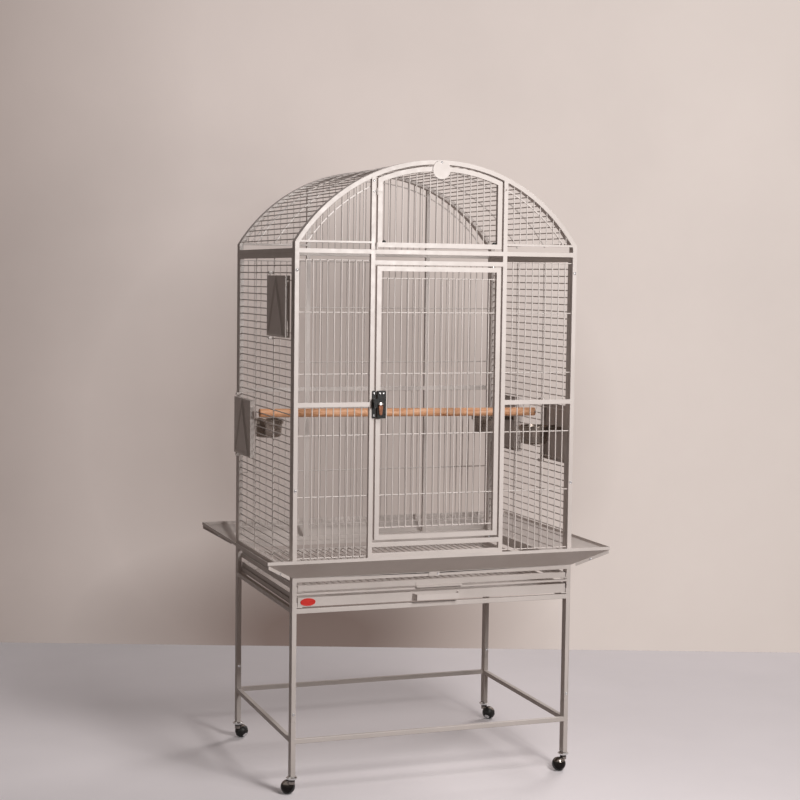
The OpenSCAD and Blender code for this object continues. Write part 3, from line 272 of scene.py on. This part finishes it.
def black():
    """Black enamel, a little worn to grey."""
    s = Shader("black")
    s.colour(s.ramp(s.noise(180, detail=6, rough=0.65), [(0.5, grey(0.005)), (0.8, (0.024, 0.023, 0.022))]))
    s.roughness(s.spread(s.noise(260, detail=4), 0.22, 0.42))
    s.bump(s.noise(900, detail=3), strength=0.08, distance=0.0002)
    s.set(Specular_IOR_Level=0.28)
    return s.material


def rubber():
    """Black rubber with dusty scuffs."""
    s = Shader("rubber")
    s.colour(s.ramp(s.noise(220, detail=6, rough=0.7), [(0.4, grey(0.007)), (0.8, (0.034, 0.032, 0.030))]))
    s.roughness(s.spread(s.noise(300, detail=4), 0.30, 0.52))
    s.bump(s.noise(1200, detail=4), strength=0.15, distance=0.0003)
    s.set(Specular_IOR_Level=0.35)
    return s.material


def wood():
    """Sanded dowel: long grain along X with darker streaks and small pores."""
    s = Shader("wood")
    along = s.stretched((4, 150, 150))
    grain = s.noise(1.0, detail=6, rough=0.6, place=along, distortion=0.6)
    tone = s.ramp(grain, [
        (0.28, (0.58, 0.24, 0.11)), (0.45, (0.79, 0.40, 0.21)),
        (0.62, (0.87, 0.49, 0.29)), (0.8, (0.93, 0.58, 0.38)),
    ])
    specks = s.noise(1.0, detail=2, place=s.stretched((30, 900, 900)))
    pores = s.ramp(specks, [(0.3, (0.72, 0.66, 0.6)), (0.42, grey(1))])
    s.colour(s.multiply(tone, pores, share=0.7))
    s.roughness(s.spread(grain, 0.62, 0.48))
    s.bump(grain, strength=0.2, distance=0.0006)
    return s.material


def red_enamel():
    """Red badge enamel with a faint cloud."""
    s = Shader("red_enamel")
    s.colour(s.ramp(s.noise(120, detail=3), [(0.3, (0.58, 0.022, 0.016)), (0.7, (0.70, 0.035, 0.024))]))
    s.roughness(s.spread(s.noise(400, detail=3), 0.28, 0.4))
    s.bump(s.noise(900, detail=2), strength=0.05, distance=0.0002)
    return s.material


def lever_chrome():
    """Latch lever: bright at its boss as a painted highlight, and a warmer, darker plating along its arm.
    """
    s = Shader("lever_chrome")
    # Painted highlight: the pale tone at the top of the lever
    tone = s.ramp(s.spread(s.axis("Z"), 0.0, 1.0, *LEVER_TONES), [
        (0.0, (0.52, 0.24, 0.15)), (0.45, (0.20, 0.085, 0.05)), (0.6, (0.86, 0.84, 0.82)),
    ])
    smear = s.ramp(s.noise(300, detail=5), [(0.3, grey(0.8)), (0.7, grey(1.0))])
    s.colour(s.multiply(tone, smear))
    s.roughness(s.spread(s.noise(500, detail=5), 0.10, 0.24))
    s.bump(s.noise(2000, detail=3), strength=0.05, distance=0.0001)
    s.set(Metallic=1.0)
    return s.material


LOOKS = {
    "paint": paint(),
    "chrome": chrome(),
    "nickel": nickel(),
    "plated_hood": plated_hood(),
    "lever_chrome": lever_chrome(),
    "stainless": stainless(),
    "black": black(),
    "rubber": rubber(),
    "wood": wood(),
    "red_enamel": red_enamel(),
}


def look_of(node):
    """A node's look: its slot's, but for the cup rings, the casters' hoods and the latch lever."""
    # The cup rings share the cups' dark painted reflection
    if node.startswith("cup_ring"):
        return "stainless"
    if node.startswith("caster_fork"):
        return "plated_hood"
    if node == "latch_lever":
        return "lever_chrome"
    return slot_of[node]


def dress_nodes():
    """Each CAD node in its look."""
    for name, piece in nodes.items():
        piece.data.materials.clear()
        piece.data.materials.append(LOOKS[look_of(name)])


# Rounding of the tubes' corners: radius, steps, and the angle from which an edge is a corner
TUBE_ROUND = 1.1 * MM
TUBE_STEPS = 2
CORNER_ANGLE = math.radians(60)
# Vertices this near count as one, and so do faces that differ by no more than this angle
SAME_PLACE = 0.001 * MM
SAME_FACE = math.radians(0.5)
# Frames of tube; the triangles of the wall frames are joined to whole faces first
WALL_FRAMES = ("front_frame", "rear_frame", "left_frame", "right_frame", "roof_frame")
STAND_FRAMES = ("stand_frame", "base_frame")


def round_tubes():
    """Rounded corners along the tubes of the frames."""
    for node in WALL_FRAMES + STAND_FRAMES:
        piece = nodes[node]
        weld = piece.modifiers.new("weld", "WELD")
        weld.merge_threshold = SAME_PLACE
        if node in WALL_FRAMES:
            flat = piece.modifiers.new("flat", "DECIMATE")
            flat.decimate_type = "DISSOLVE"
            flat.angle_limit = SAME_FACE
        bevel = piece.modifiers.new("bevel", "BEVEL")
        bevel.width = TUBE_ROUND
        bevel.segments = TUBE_STEPS
        bevel.limit_method = "ANGLE"
        bevel.angle_limit = CORNER_ANGLE
        bevel.use_clamp_overlap = False
        bevel.harden_normals = True


# Fine pieces, drawn in millimetres of the row's frame

# Steps round a full turn and along an arc, and the decimals that tell two vertices apart
STEPS = 40
ARC_STEPS = 8
KEY_DECIMALS = 2


def add_piece(name, bm, look, body, crease=35):
    """A mesh piece that rides on a body, with edges sharper than the crease angle kept sharp."""
    bmesh.ops.recalc_face_normals(bm, faces=bm.faces)
    bmesh.ops.scale(bm, vec=(MM, MM, MM), verts=bm.verts)
    mesh = bpy.data.meshes.new(name)
    bm.to_mesh(mesh)
    bm.free()
    mesh.materials.append(LOOKS[look])
    mesh.shade_smooth()
    mesh.set_sharp_from_angle(angle=math.radians(crease))
    piece = bpy.data.objects.new(name, mesh)
    bpy.context.scene.collection.objects.link(piece)
    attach(piece, body)
    return piece


def box_mm(node):
    """A CAD node's box, in millimetres."""
    low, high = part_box(node)
    return low / MM, high / MM


def join_rings(bm, rings):
    """Skin a run of rings of vertices; a ring of one vertex is a tip."""
    for a, b in zip(rings, rings[1:]):
        count = max(len(a), len(b))
        for k in range(count):
            n = (k + 1) % count
            corners = [a[k % len(a)], a[n % len(a)], b[n % len(b)], b[k % len(b)]]
            bm.faces.new(list(dict.fromkeys(corners)))


def turns(radius):
    """Angles of the vertices round a ring; a ring of no radius is a tip, with one vertex."""
    return [math.tau * k / STEPS for k in range(STEPS if radius else 1)]


def lathe(bm, profile, place):
    """Turn a run of (radius, height) from tip to tip about the place's Z axis."""
    rings = []
    for radius, height in profile:
        spots = [(radius * math.cos(a), radius * math.sin(a), height) for a in turns(radius)]
        rings.append([bm.verts.new(place @ Vector(spot)) for spot in spots])
    join_rings(bm, rings)


def arc(centre, radius, start, end):
    """Points of an arc in (radius, height), by angles in degrees from outwards."""
    angles = [math.radians(start + (end - start) * k / ARC_STEPS) for k in range(ARC_STEPS + 1)]
    return [(centre[0] + radius * math.cos(a), centre[1] + radius * math.sin(a)) for a in angles]


def solids(node):
    """The places of each separate solid's vertices in a CAD node, in millimetres."""
    mesh = nodes[node].data
    key_of = [tuple(round(c / MM, KEY_DECIMALS) for c in v.co) for v in mesh.vertices]
    lead = {key: key for key in key_of}

    def find(key):
        while lead[key] != key:
            lead[key] = lead[lead[key]]
            key = lead[key]
        return key

    for face in mesh.polygons:
        first = find(key_of[face.vertices[0]])
        for corner in face.vertices[1:]:
            lead[find(key_of[corner])] = first
    groups = {}
    for key in lead:
        groups.setdefault(find(key), []).append(Vector(key))
    return list(groups.values())


# Cross recess: half width, reach and soft edge of its arms in head widths, and its depth in head heights
RECESS_ARM = 0.085
RECESS_REACH = 0.31
RECESS_EDGE = 0.03
RECESS_DEPTH = 0.62
# Rings of vertices from the rim of a head to its middle
HEAD_RINGS = 14
# On a CAD screw, the rim lies beyond this share of its reach, and the shank this far under the rim
RIM_SHARE = 0.97
UNDER_RIM = 0.1


def fade(value, edge, width):
    """1 well below the edge, 0 well above it."""
    share = min(1.0, max(0.0, (edge + width - value) / (2 * width)))
    return share * share * (3 - 2 * share)


def recess(across, along):
    """Share of the recess's full depth at a place on the head, given in head widths from its middle."""
    return max(
        fade(across, RECESS_ARM, RECESS_EDGE) * fade(along, RECESS_REACH, RECESS_EDGE),
        fade(along, RECESS_ARM, RECESS_EDGE) * fade(across, RECESS_REACH, RECESS_EDGE),
    )


def recessed_screw(bm, points):
    """A pan head with a cross recess, and its shank, in place of a plain CAD screw along Y."""
    low = Vector(min(p[k] for p in points) for k in range(3))
    high = Vector(max(p[k] for p in points) for k in range(3))
    middle = (low + high) / 2
    reach = (high.x - low.x) / 2

    def from_axis(p):
        return math.hypot(p.x - middle.x, p.z - middle.z)

    face = next(p.y for p in points if from_axis(p) > RIM_SHARE * reach)
    outward = -1 if middle.y > face else 1
    head = (high.y - face) if outward > 0 else (face - low.y)
    shank = (high.y - low.y) - head
    shank_r = max(from_axis(p) for p in points if (p.y - face) * outward < -UNDER_RIM)
    curve = (reach * reach + head * head) / (2 * head)
    rings = []
    for radius, depth in ((0, shank), (shank_r, shank), (shank_r, 0)):
        rings.append([(radius, turn, -depth) for turn in turns(radius)])
    for ring in range(HEAD_RINGS + 1):
        radius = reach * (1 - ring / HEAD_RINGS)
        spots = []
        for turn in turns(radius):
            across = abs(radius * math.cos(turn)) / (2 * reach)
            along = abs(radius * math.sin(turn)) / (2 * reach)
            cut = recess(across, along) * RECESS_DEPTH * head
            rise = math.sqrt(curve * curve - radius * radius) - (curve - head)
            spots.append((radius, turn, rise - cut))
        rings.append(spots)
    made = []
    for spots in rings:
        made.append([
            bm.verts.new((middle.x + r * math.cos(t), face + outward * h, middle.z + r * math.sin(t)))
            for r, t, h in spots
        ])
    join_rings(bm, made)


SCREW_BODIES = {
    "frame_bolts": "cage",
    "small_screws": "cage",
    "case_screws": "front_door",
    "disc_screw": "dome_door",
}


def add_screws():
    """Screws with cross recesses in place of the plain CAD ones."""
    for node, body in SCREW_BODIES.items():
        bm = bmesh.new()
        for points in solids(node):
            recessed_screw(bm, points)
        piece = add_piece(f"{node}_recessed", bm, "nickel", body, crease=50)
        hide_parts(node)


# Cups: sheet, radius of the foot's corner, radius of the rim's bead, taper of the wall and reach of the lip
CUP_SHEET = 0.8
CUP_CORNER = 9
CUP_BEAD = 1.0
CUP_TAPER = 3
CUP_LIP = 3.5
# Steps out from the wall and down from the top: the neck under the bead, and the edge inside it
CUP_NECK = ((-0.2, 3 * CUP_BEAD), (0.4, 2.1 * CUP_BEAD))
CUP_EDGE = ((0.2, 0), (0.1 - CUP_SHEET, 0.4), (-CUP_SHEET, 1.4))


def add_cups():
    """Pressed cups: a rounded foot, a straight wall and a rolled rim."""
    for place in ("left_rear", "right_front", "right_rear"):
        node = f"cup_{place}"
        low, high = box_mm(node)
        tall = high.z - low.z
        rim = (high.x - low.x) / 2
        wall = rim - CUP_LIP
        foot = wall - CUP_TAPER
        bead = (rim - CUP_BEAD, tall - CUP_BEAD)
        inner = CUP_CORNER - CUP_SHEET
        corner = (foot - CUP_CORNER, CUP_CORNER)
        profile = [(0, 0)]
        profile += arc(corner, CUP_CORNER, -90, 0)
        profile += [(wall + out, tall - down) for out, down in CUP_NECK]
        profile += arc(bead, CUP_BEAD, -90, 90)
        profile += [(wall + out, tall - down) for out, down in CUP_EDGE]
        profile += arc(corner, inner, 0, -90)
        profile += [(0, CUP_SHEET)]
        middle = (low + high) / 2
        bm = bmesh.new()
        lathe(bm, profile, Matrix.Translation((middle.x, middle.y, low.z)))
        piece = add_piece(f"{node}_pressed", bm, "stainless", node)
        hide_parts(node)


# The feeder door's width, to the nearest millimetre
FEEDER_WIDE = 184
# Its pressed triangle, as in the CAD: distances from the door's edges, and height over its sheet
CREASE_IN = 18
CREASE_FOOT = 6
CREASE_TOP = 12
CREASE_RAISE = 2
# Reach of the flanks at the foot, the rear and the front, and how deep they run into the sheet
FLANKS = (4, 7, 7)
SUNK = 0.4
# Ridge along the triangle's edges: height over the CAD's face, reach of its inner slope, skin on that face
RIDGE = 2.2
RIDGE_IN = 9
FACE_SKIN = 0.2


def spread_triangle(corners, reaches):
    """A triangle with each edge moved outwards by its own reach; edge k runs from corner k to the next."""
    lines = []
    for k in range(3):
        along = (corners[(k + 1) % 3] - corners[k]).normalized()
        lines.append((corners[k] + Vector((along.y, -along.x)) * reaches[k], along))
    moved = []
    for k in range(3):
        (p, u), (q, v) = lines[k - 1], lines[k]
        moved.append(p + u * ((q - p).cross(v) / u.cross(v)))
    return moved


def add_creases():
    """The pressed triangle on each feeder door, with a ridge along its edges."""
    for place in ("left_front", "left_rear", "right_front", "right_rear"):
        low, high = box_mm(f"feeder_door_{place}")
        side = -1 if place.startswith("left") else 1
        top = max(abs(low.x), abs(high.x))
        y0, y1 = low.y, low.y + FEEDER_WIDE
        triangle = [
            Vector((y0 + CREASE_IN, low.z + CREASE_FOOT)),
            Vector((y1 - CREASE_IN, low.z + CREASE_FOOT)),
            Vector(((y0 + y1) / 2, high.z - CREASE_TOP)),
        ]
        foot = spread_triangle(triangle, FLANKS)
        face = spread_triangle(triangle, (-RIDGE_IN, -RIDGE_IN, -RIDGE_IN))
        bm = bmesh.new()
        rings = []
        for ring, height in (
            (foot, top - CREASE_RAISE - SUNK), (triangle, top + RIDGE), (face, top + FACE_SKIN),
        ):
            rings.append([bm.verts.new((side * height, p.x, p.y)) for p in ring])
        join_rings(bm, rings)
        bm.faces.new(rings[0])
        bm.faces.new(rings[-1])
        add_piece(f"feeder_crease_{place}", bm, "paint", f"feeder_{place}", crease=5)


# Badge: place and half sizes along X and Z; rings from its back inwards, as (share of size, height)
BADGE_AT = (-362, 523)
BADGE_HALF = (21, 10.5)
BADGE_RINGS = (
    (1.0, -0.3), (1.0, 0.9), (0.985, 1.15), (0.95, 1.25), (0.91, 1.2), (0.885, 0.95), (0.86, 0.9),
    (0.6, 1.05), (0.3, 1.15),
)
# Height of its middle
BADGE_TIP = 1.2


def add_badge():
    """A blank oval badge with a raised border, on the tray's front."""
    low, _ = box_mm("tray")
    bm = bmesh.new()
    rings = []
    for share, out in BADGE_RINGS:
        spots = []
        for turn in turns(share):
            x = BADGE_AT[0] + share * BADGE_HALF[0] * math.cos(turn)
            z = BADGE_AT[1] + share * BADGE_HALF[1] * math.sin(turn)
            spots.append(bm.verts.new((x, low.y - out, z)))
        rings.append(spots)
    rings.append([bm.verts.new((BADGE_AT[0], low.y - BADGE_TIP, BADGE_AT[1]))])
    join_rings(bm, rings)
    bm.faces.new(rings[0])
    add_piece("tray_badge", bm, "red_enamel", "tray", crease=50)


# Studio, in metres


def lay_painted_shadow(s, shown, centre, wide, tall, colour, full):
    """A painted shadow: a soft round darkening laid over what a surface shows."""
    half = (wide, wide, tall)
    place = s.stretched([1 / h for h in half], [-c / h for c, h in zip(centre, half)])
    near = s.node("ShaderNodeTexGradient", gradient_type="SPHERICAL")
    s.link(place, near.inputs["Vector"])
    shadow_veil = s.ramp(near.outputs["Fac"], [(0.0, grey(1)), (full, colour)])
    return s.multiply(shown, shadow_veil)


def stage_material(name, tones, stretch, bounced, glow, painted_shadows=(), clear_behind=False):
    """Pale matt surface with painted light: brighter to one side, and glowing a little; it throws light
    back in a set colour.
    """
    s = Shader(name)
    across = s.axis("X", s.stretched(stretch))
    # Painted light: a tone that brightens towards one side, as lamp light would
    tone = s.ramp(s.spread(across, 0.0, 1.0, from_low=-1.0, from_high=1.0), tones)
    cloud = s.ramp(s.noise(1.3, detail=5, rough=0.6), [(0.3, grey(0.94)), (0.7, grey(1.0))])
    shown = s.multiply(tone, cloud)
    # Painted shadows darken the surface's colour, and so its glow too
    for shade in painted_shadows:
        shown = lay_painted_shadow(s, shown, *shade)
    s.colour(shown)
    # Painted light: the surface glows in its own colour, painted shadows included
    s.link(shown, s.bsdf.inputs["Emission Color"])
    s.set(Roughness=0.9, Specular_IOR_Level=0.1, Emission_Strength=glow)
    bounce = s.node("ShaderNodeBsdfDiffuse")
    bounce.inputs["Color"].default_value = (*bounced, 1)
    diffuse_ray = s.node("ShaderNodeLightPath").outputs["Is Diffuse Ray"]
    surface = s.mix_shaders(diffuse_ray, s.bsdf.outputs["BSDF"], bounce.outputs["BSDF"])
    if clear_behind:
        behind = s.node("ShaderNodeNewGeometry").outputs["Backfacing"]
        clear = s.node("ShaderNodeBsdfTransparent").outputs["BSDF"]
        surface = s.mix_shaders(behind, surface, clear)
    s.surface(surface)
    return s.material


def add_sheet(name, corners, material):
    """A flat sheet of the stage."""
    mesh = bpy.data.meshes.new(name)
    mesh.from_pydata(corners, [], [tuple(range(len(corners)))])
    mesh.materials.append(material)
    piece = bpy.data.objects.new(name, mesh)
    bpy.context.scene.collection.objects.link(piece)
    return piece


# Half the width of floor and wall, the wall's distance from the camera, and its height
STAGE_HALF = 14.0
WALL_AWAY = 6.25
WALL_TOP = 8.0
# Tones from left to right, painted light that brightens one side, how they are stretched, the glow, which
# is painted light too, and the colour of the light thrown back
FLOOR_TONES = [(0.0, (0.80, 0.75, 0.765)), (1.0, (0.72, 0.674, 0.688))]
FLOOR_STRETCH = (1, 1, 1)
FLOOR_GLOW = 0.1
FLOOR_BOUNCE = (0.28, 0.235, 0.215)
# Painted light: the wall is darkest to the left
WALL_TONES = [(0.0, (0.31, 0.252, 0.23)), (0.42, (0.58, 0.505, 0.472)), (1.0, (0.63, 0.56, 0.522))]
WALL_STRETCH = (0.7, 1, 1)
WALL_GLOW = 0.65
WALL_BOUNCE = (0.38, 0.315, 0.285)
# Painted shadows on the wall, behind the cage and behind the stand:
# place along the wall, height, half width, half height, colour, and share of the way in where it is full
WALL_PAINTED_SHADOWS = (
    (-0.17, 0.78, 1.00, 0.95, (0.67, 0.65, 0.64), 0.5),
    (-0.30, 0.04, 0.95, 0.42, (0.42, 0.36, 0.34), 0.8),
)


def add_floor():
    """The floor that the cage stands on."""
    half = STAGE_HALF
    material = stage_material("floor", FLOOR_TONES, FLOOR_STRETCH, FLOOR_BOUNCE, FLOOR_GLOW)
    add_sheet("floor", [(-half, -half, 0), (half, -half, 0), (half, half, 0), (-half, half, 0)], material)


def add_wall():
    """A wall square to the camera's view, clear from behind."""
    ahead = Vector((math.sin(CAM_YAW), math.cos(CAM_YAW), 0))
    foot = Vector((CAM_PLACE[0], CAM_PLACE[1], 0)) + ahead * WALL_AWAY
    painted_shadows = []
    for along, height, *shade in WALL_PAINTED_SHADOWS:
        centre = foot + CAM_LEVEL * along + Vector((0, 0, height))
        painted_shadows.append((centre, *shade))
    material = stage_material(
        "wall", WALL_TONES, WALL_STRETCH, WALL_BOUNCE, WALL_GLOW, painted_shadows, clear_behind=True,
    )
    side = CAM_LEVEL * STAGE_HALF
    top = Vector((0, 0, WALL_TOP))
    corners = [foot - side, foot + side, foot + side + top, foot - side + top]
    sheet = add_sheet("wall", [tuple(c) for c in corners], material)
    # The rim lamp stands behind the wall and shines through it
    sheet.visible_shadow = False


# The world's colour where it is seen or mirrored, and the faint light that it gives otherwise
SEEN_COLOUR = (0.64, 0.58, 0.54)
SEEN_STRENGTH = 1.0
FILL_COLOUR = (1.0, 0.87, 0.80)
FILL_STRENGTH = 0.055


def add_world():
    """A pale surround for rays that see it, and a faint fill for the others."""
    world = bpy.data.worlds.new("world")
    bpy.context.scene.world = world
    world.use_nodes = True
    tree = world.node_tree
    seen = tree.nodes["Background"]
    seen.inputs["Color"].default_value = (*SEEN_COLOUR, 1)
    seen.inputs["Strength"].default_value = SEEN_STRENGTH
    fill = tree.nodes.new("ShaderNodeBackground")
    fill.inputs["Color"].default_value = (*FILL_COLOUR, 1)
    fill.inputs["Strength"].default_value = FILL_STRENGTH
    path = tree.nodes.new("ShaderNodeLightPath")
    pale = path.outputs["Is Camera Ray"]
    for ray in ("Is Transmission Ray", "Is Glossy Ray"):
        either = tree.nodes.new("ShaderNodeMath")
        either.operation = "MAXIMUM"
        tree.links.new(pale, either.inputs[0])
        tree.links.new(path.outputs[ray], either.inputs[1])
        pale = either.outputs[0]
    mix = tree.nodes.new("ShaderNodeMixShader")
    tree.links.new(pale, mix.inputs[0])
    tree.links.new(fill.outputs[0], mix.inputs[1])
    tree.links.new(seen.outputs[0], mix.inputs[2])
    tree.links.new(mix.outputs[0], tree.nodes["World Output"].inputs["Surface"])


# Lamps: place, aim, size, watts and colour
LAMPS = {
    "key": ((0.40, -2.15, 1.55), (-0.45, -0.3, 1.10), 0.5, 34, (1.0, 0.975, 0.955)),
    "top": ((1.0, -2.8, 4.8), (0.2, -0.6, 0), 1.6, 80, (1.0, 0.97, 0.965)),
    "rim": ((3.0, 2.4, 2.9), (0, 0, 0.9), 1.6, 65, (1.0, 0.97, 0.955)),
}


def add_lamp(name, place, aim, size, watts, colour):
    """A round area lamp that the camera doesn't see."""
    data = bpy.data.lights.new(name, "AREA")
    data.shape = "DISK"
    data.size = size
    data.energy = watts
    data.color = colour
    lamp = bpy.data.objects.new(name, data)
    lamp.location = place
    lamp.visible_camera = False
    lamp.rotation_euler = (Vector(aim) - Vector(place)).to_track_quat("-Z", "Y").to_euler()
    bpy.context.scene.collection.objects.link(lamp)


dress_nodes()
round_tubes()
add_screws()
add_cups()
add_creases()
add_badge()
add_camera()
add_floor()
add_wall()
add_world()
for lamp_name, lamp_values in LAMPS.items():
    add_lamp(lamp_name, *lamp_values)
bpy.context.scene.view_settings.view_transform = "Standard"
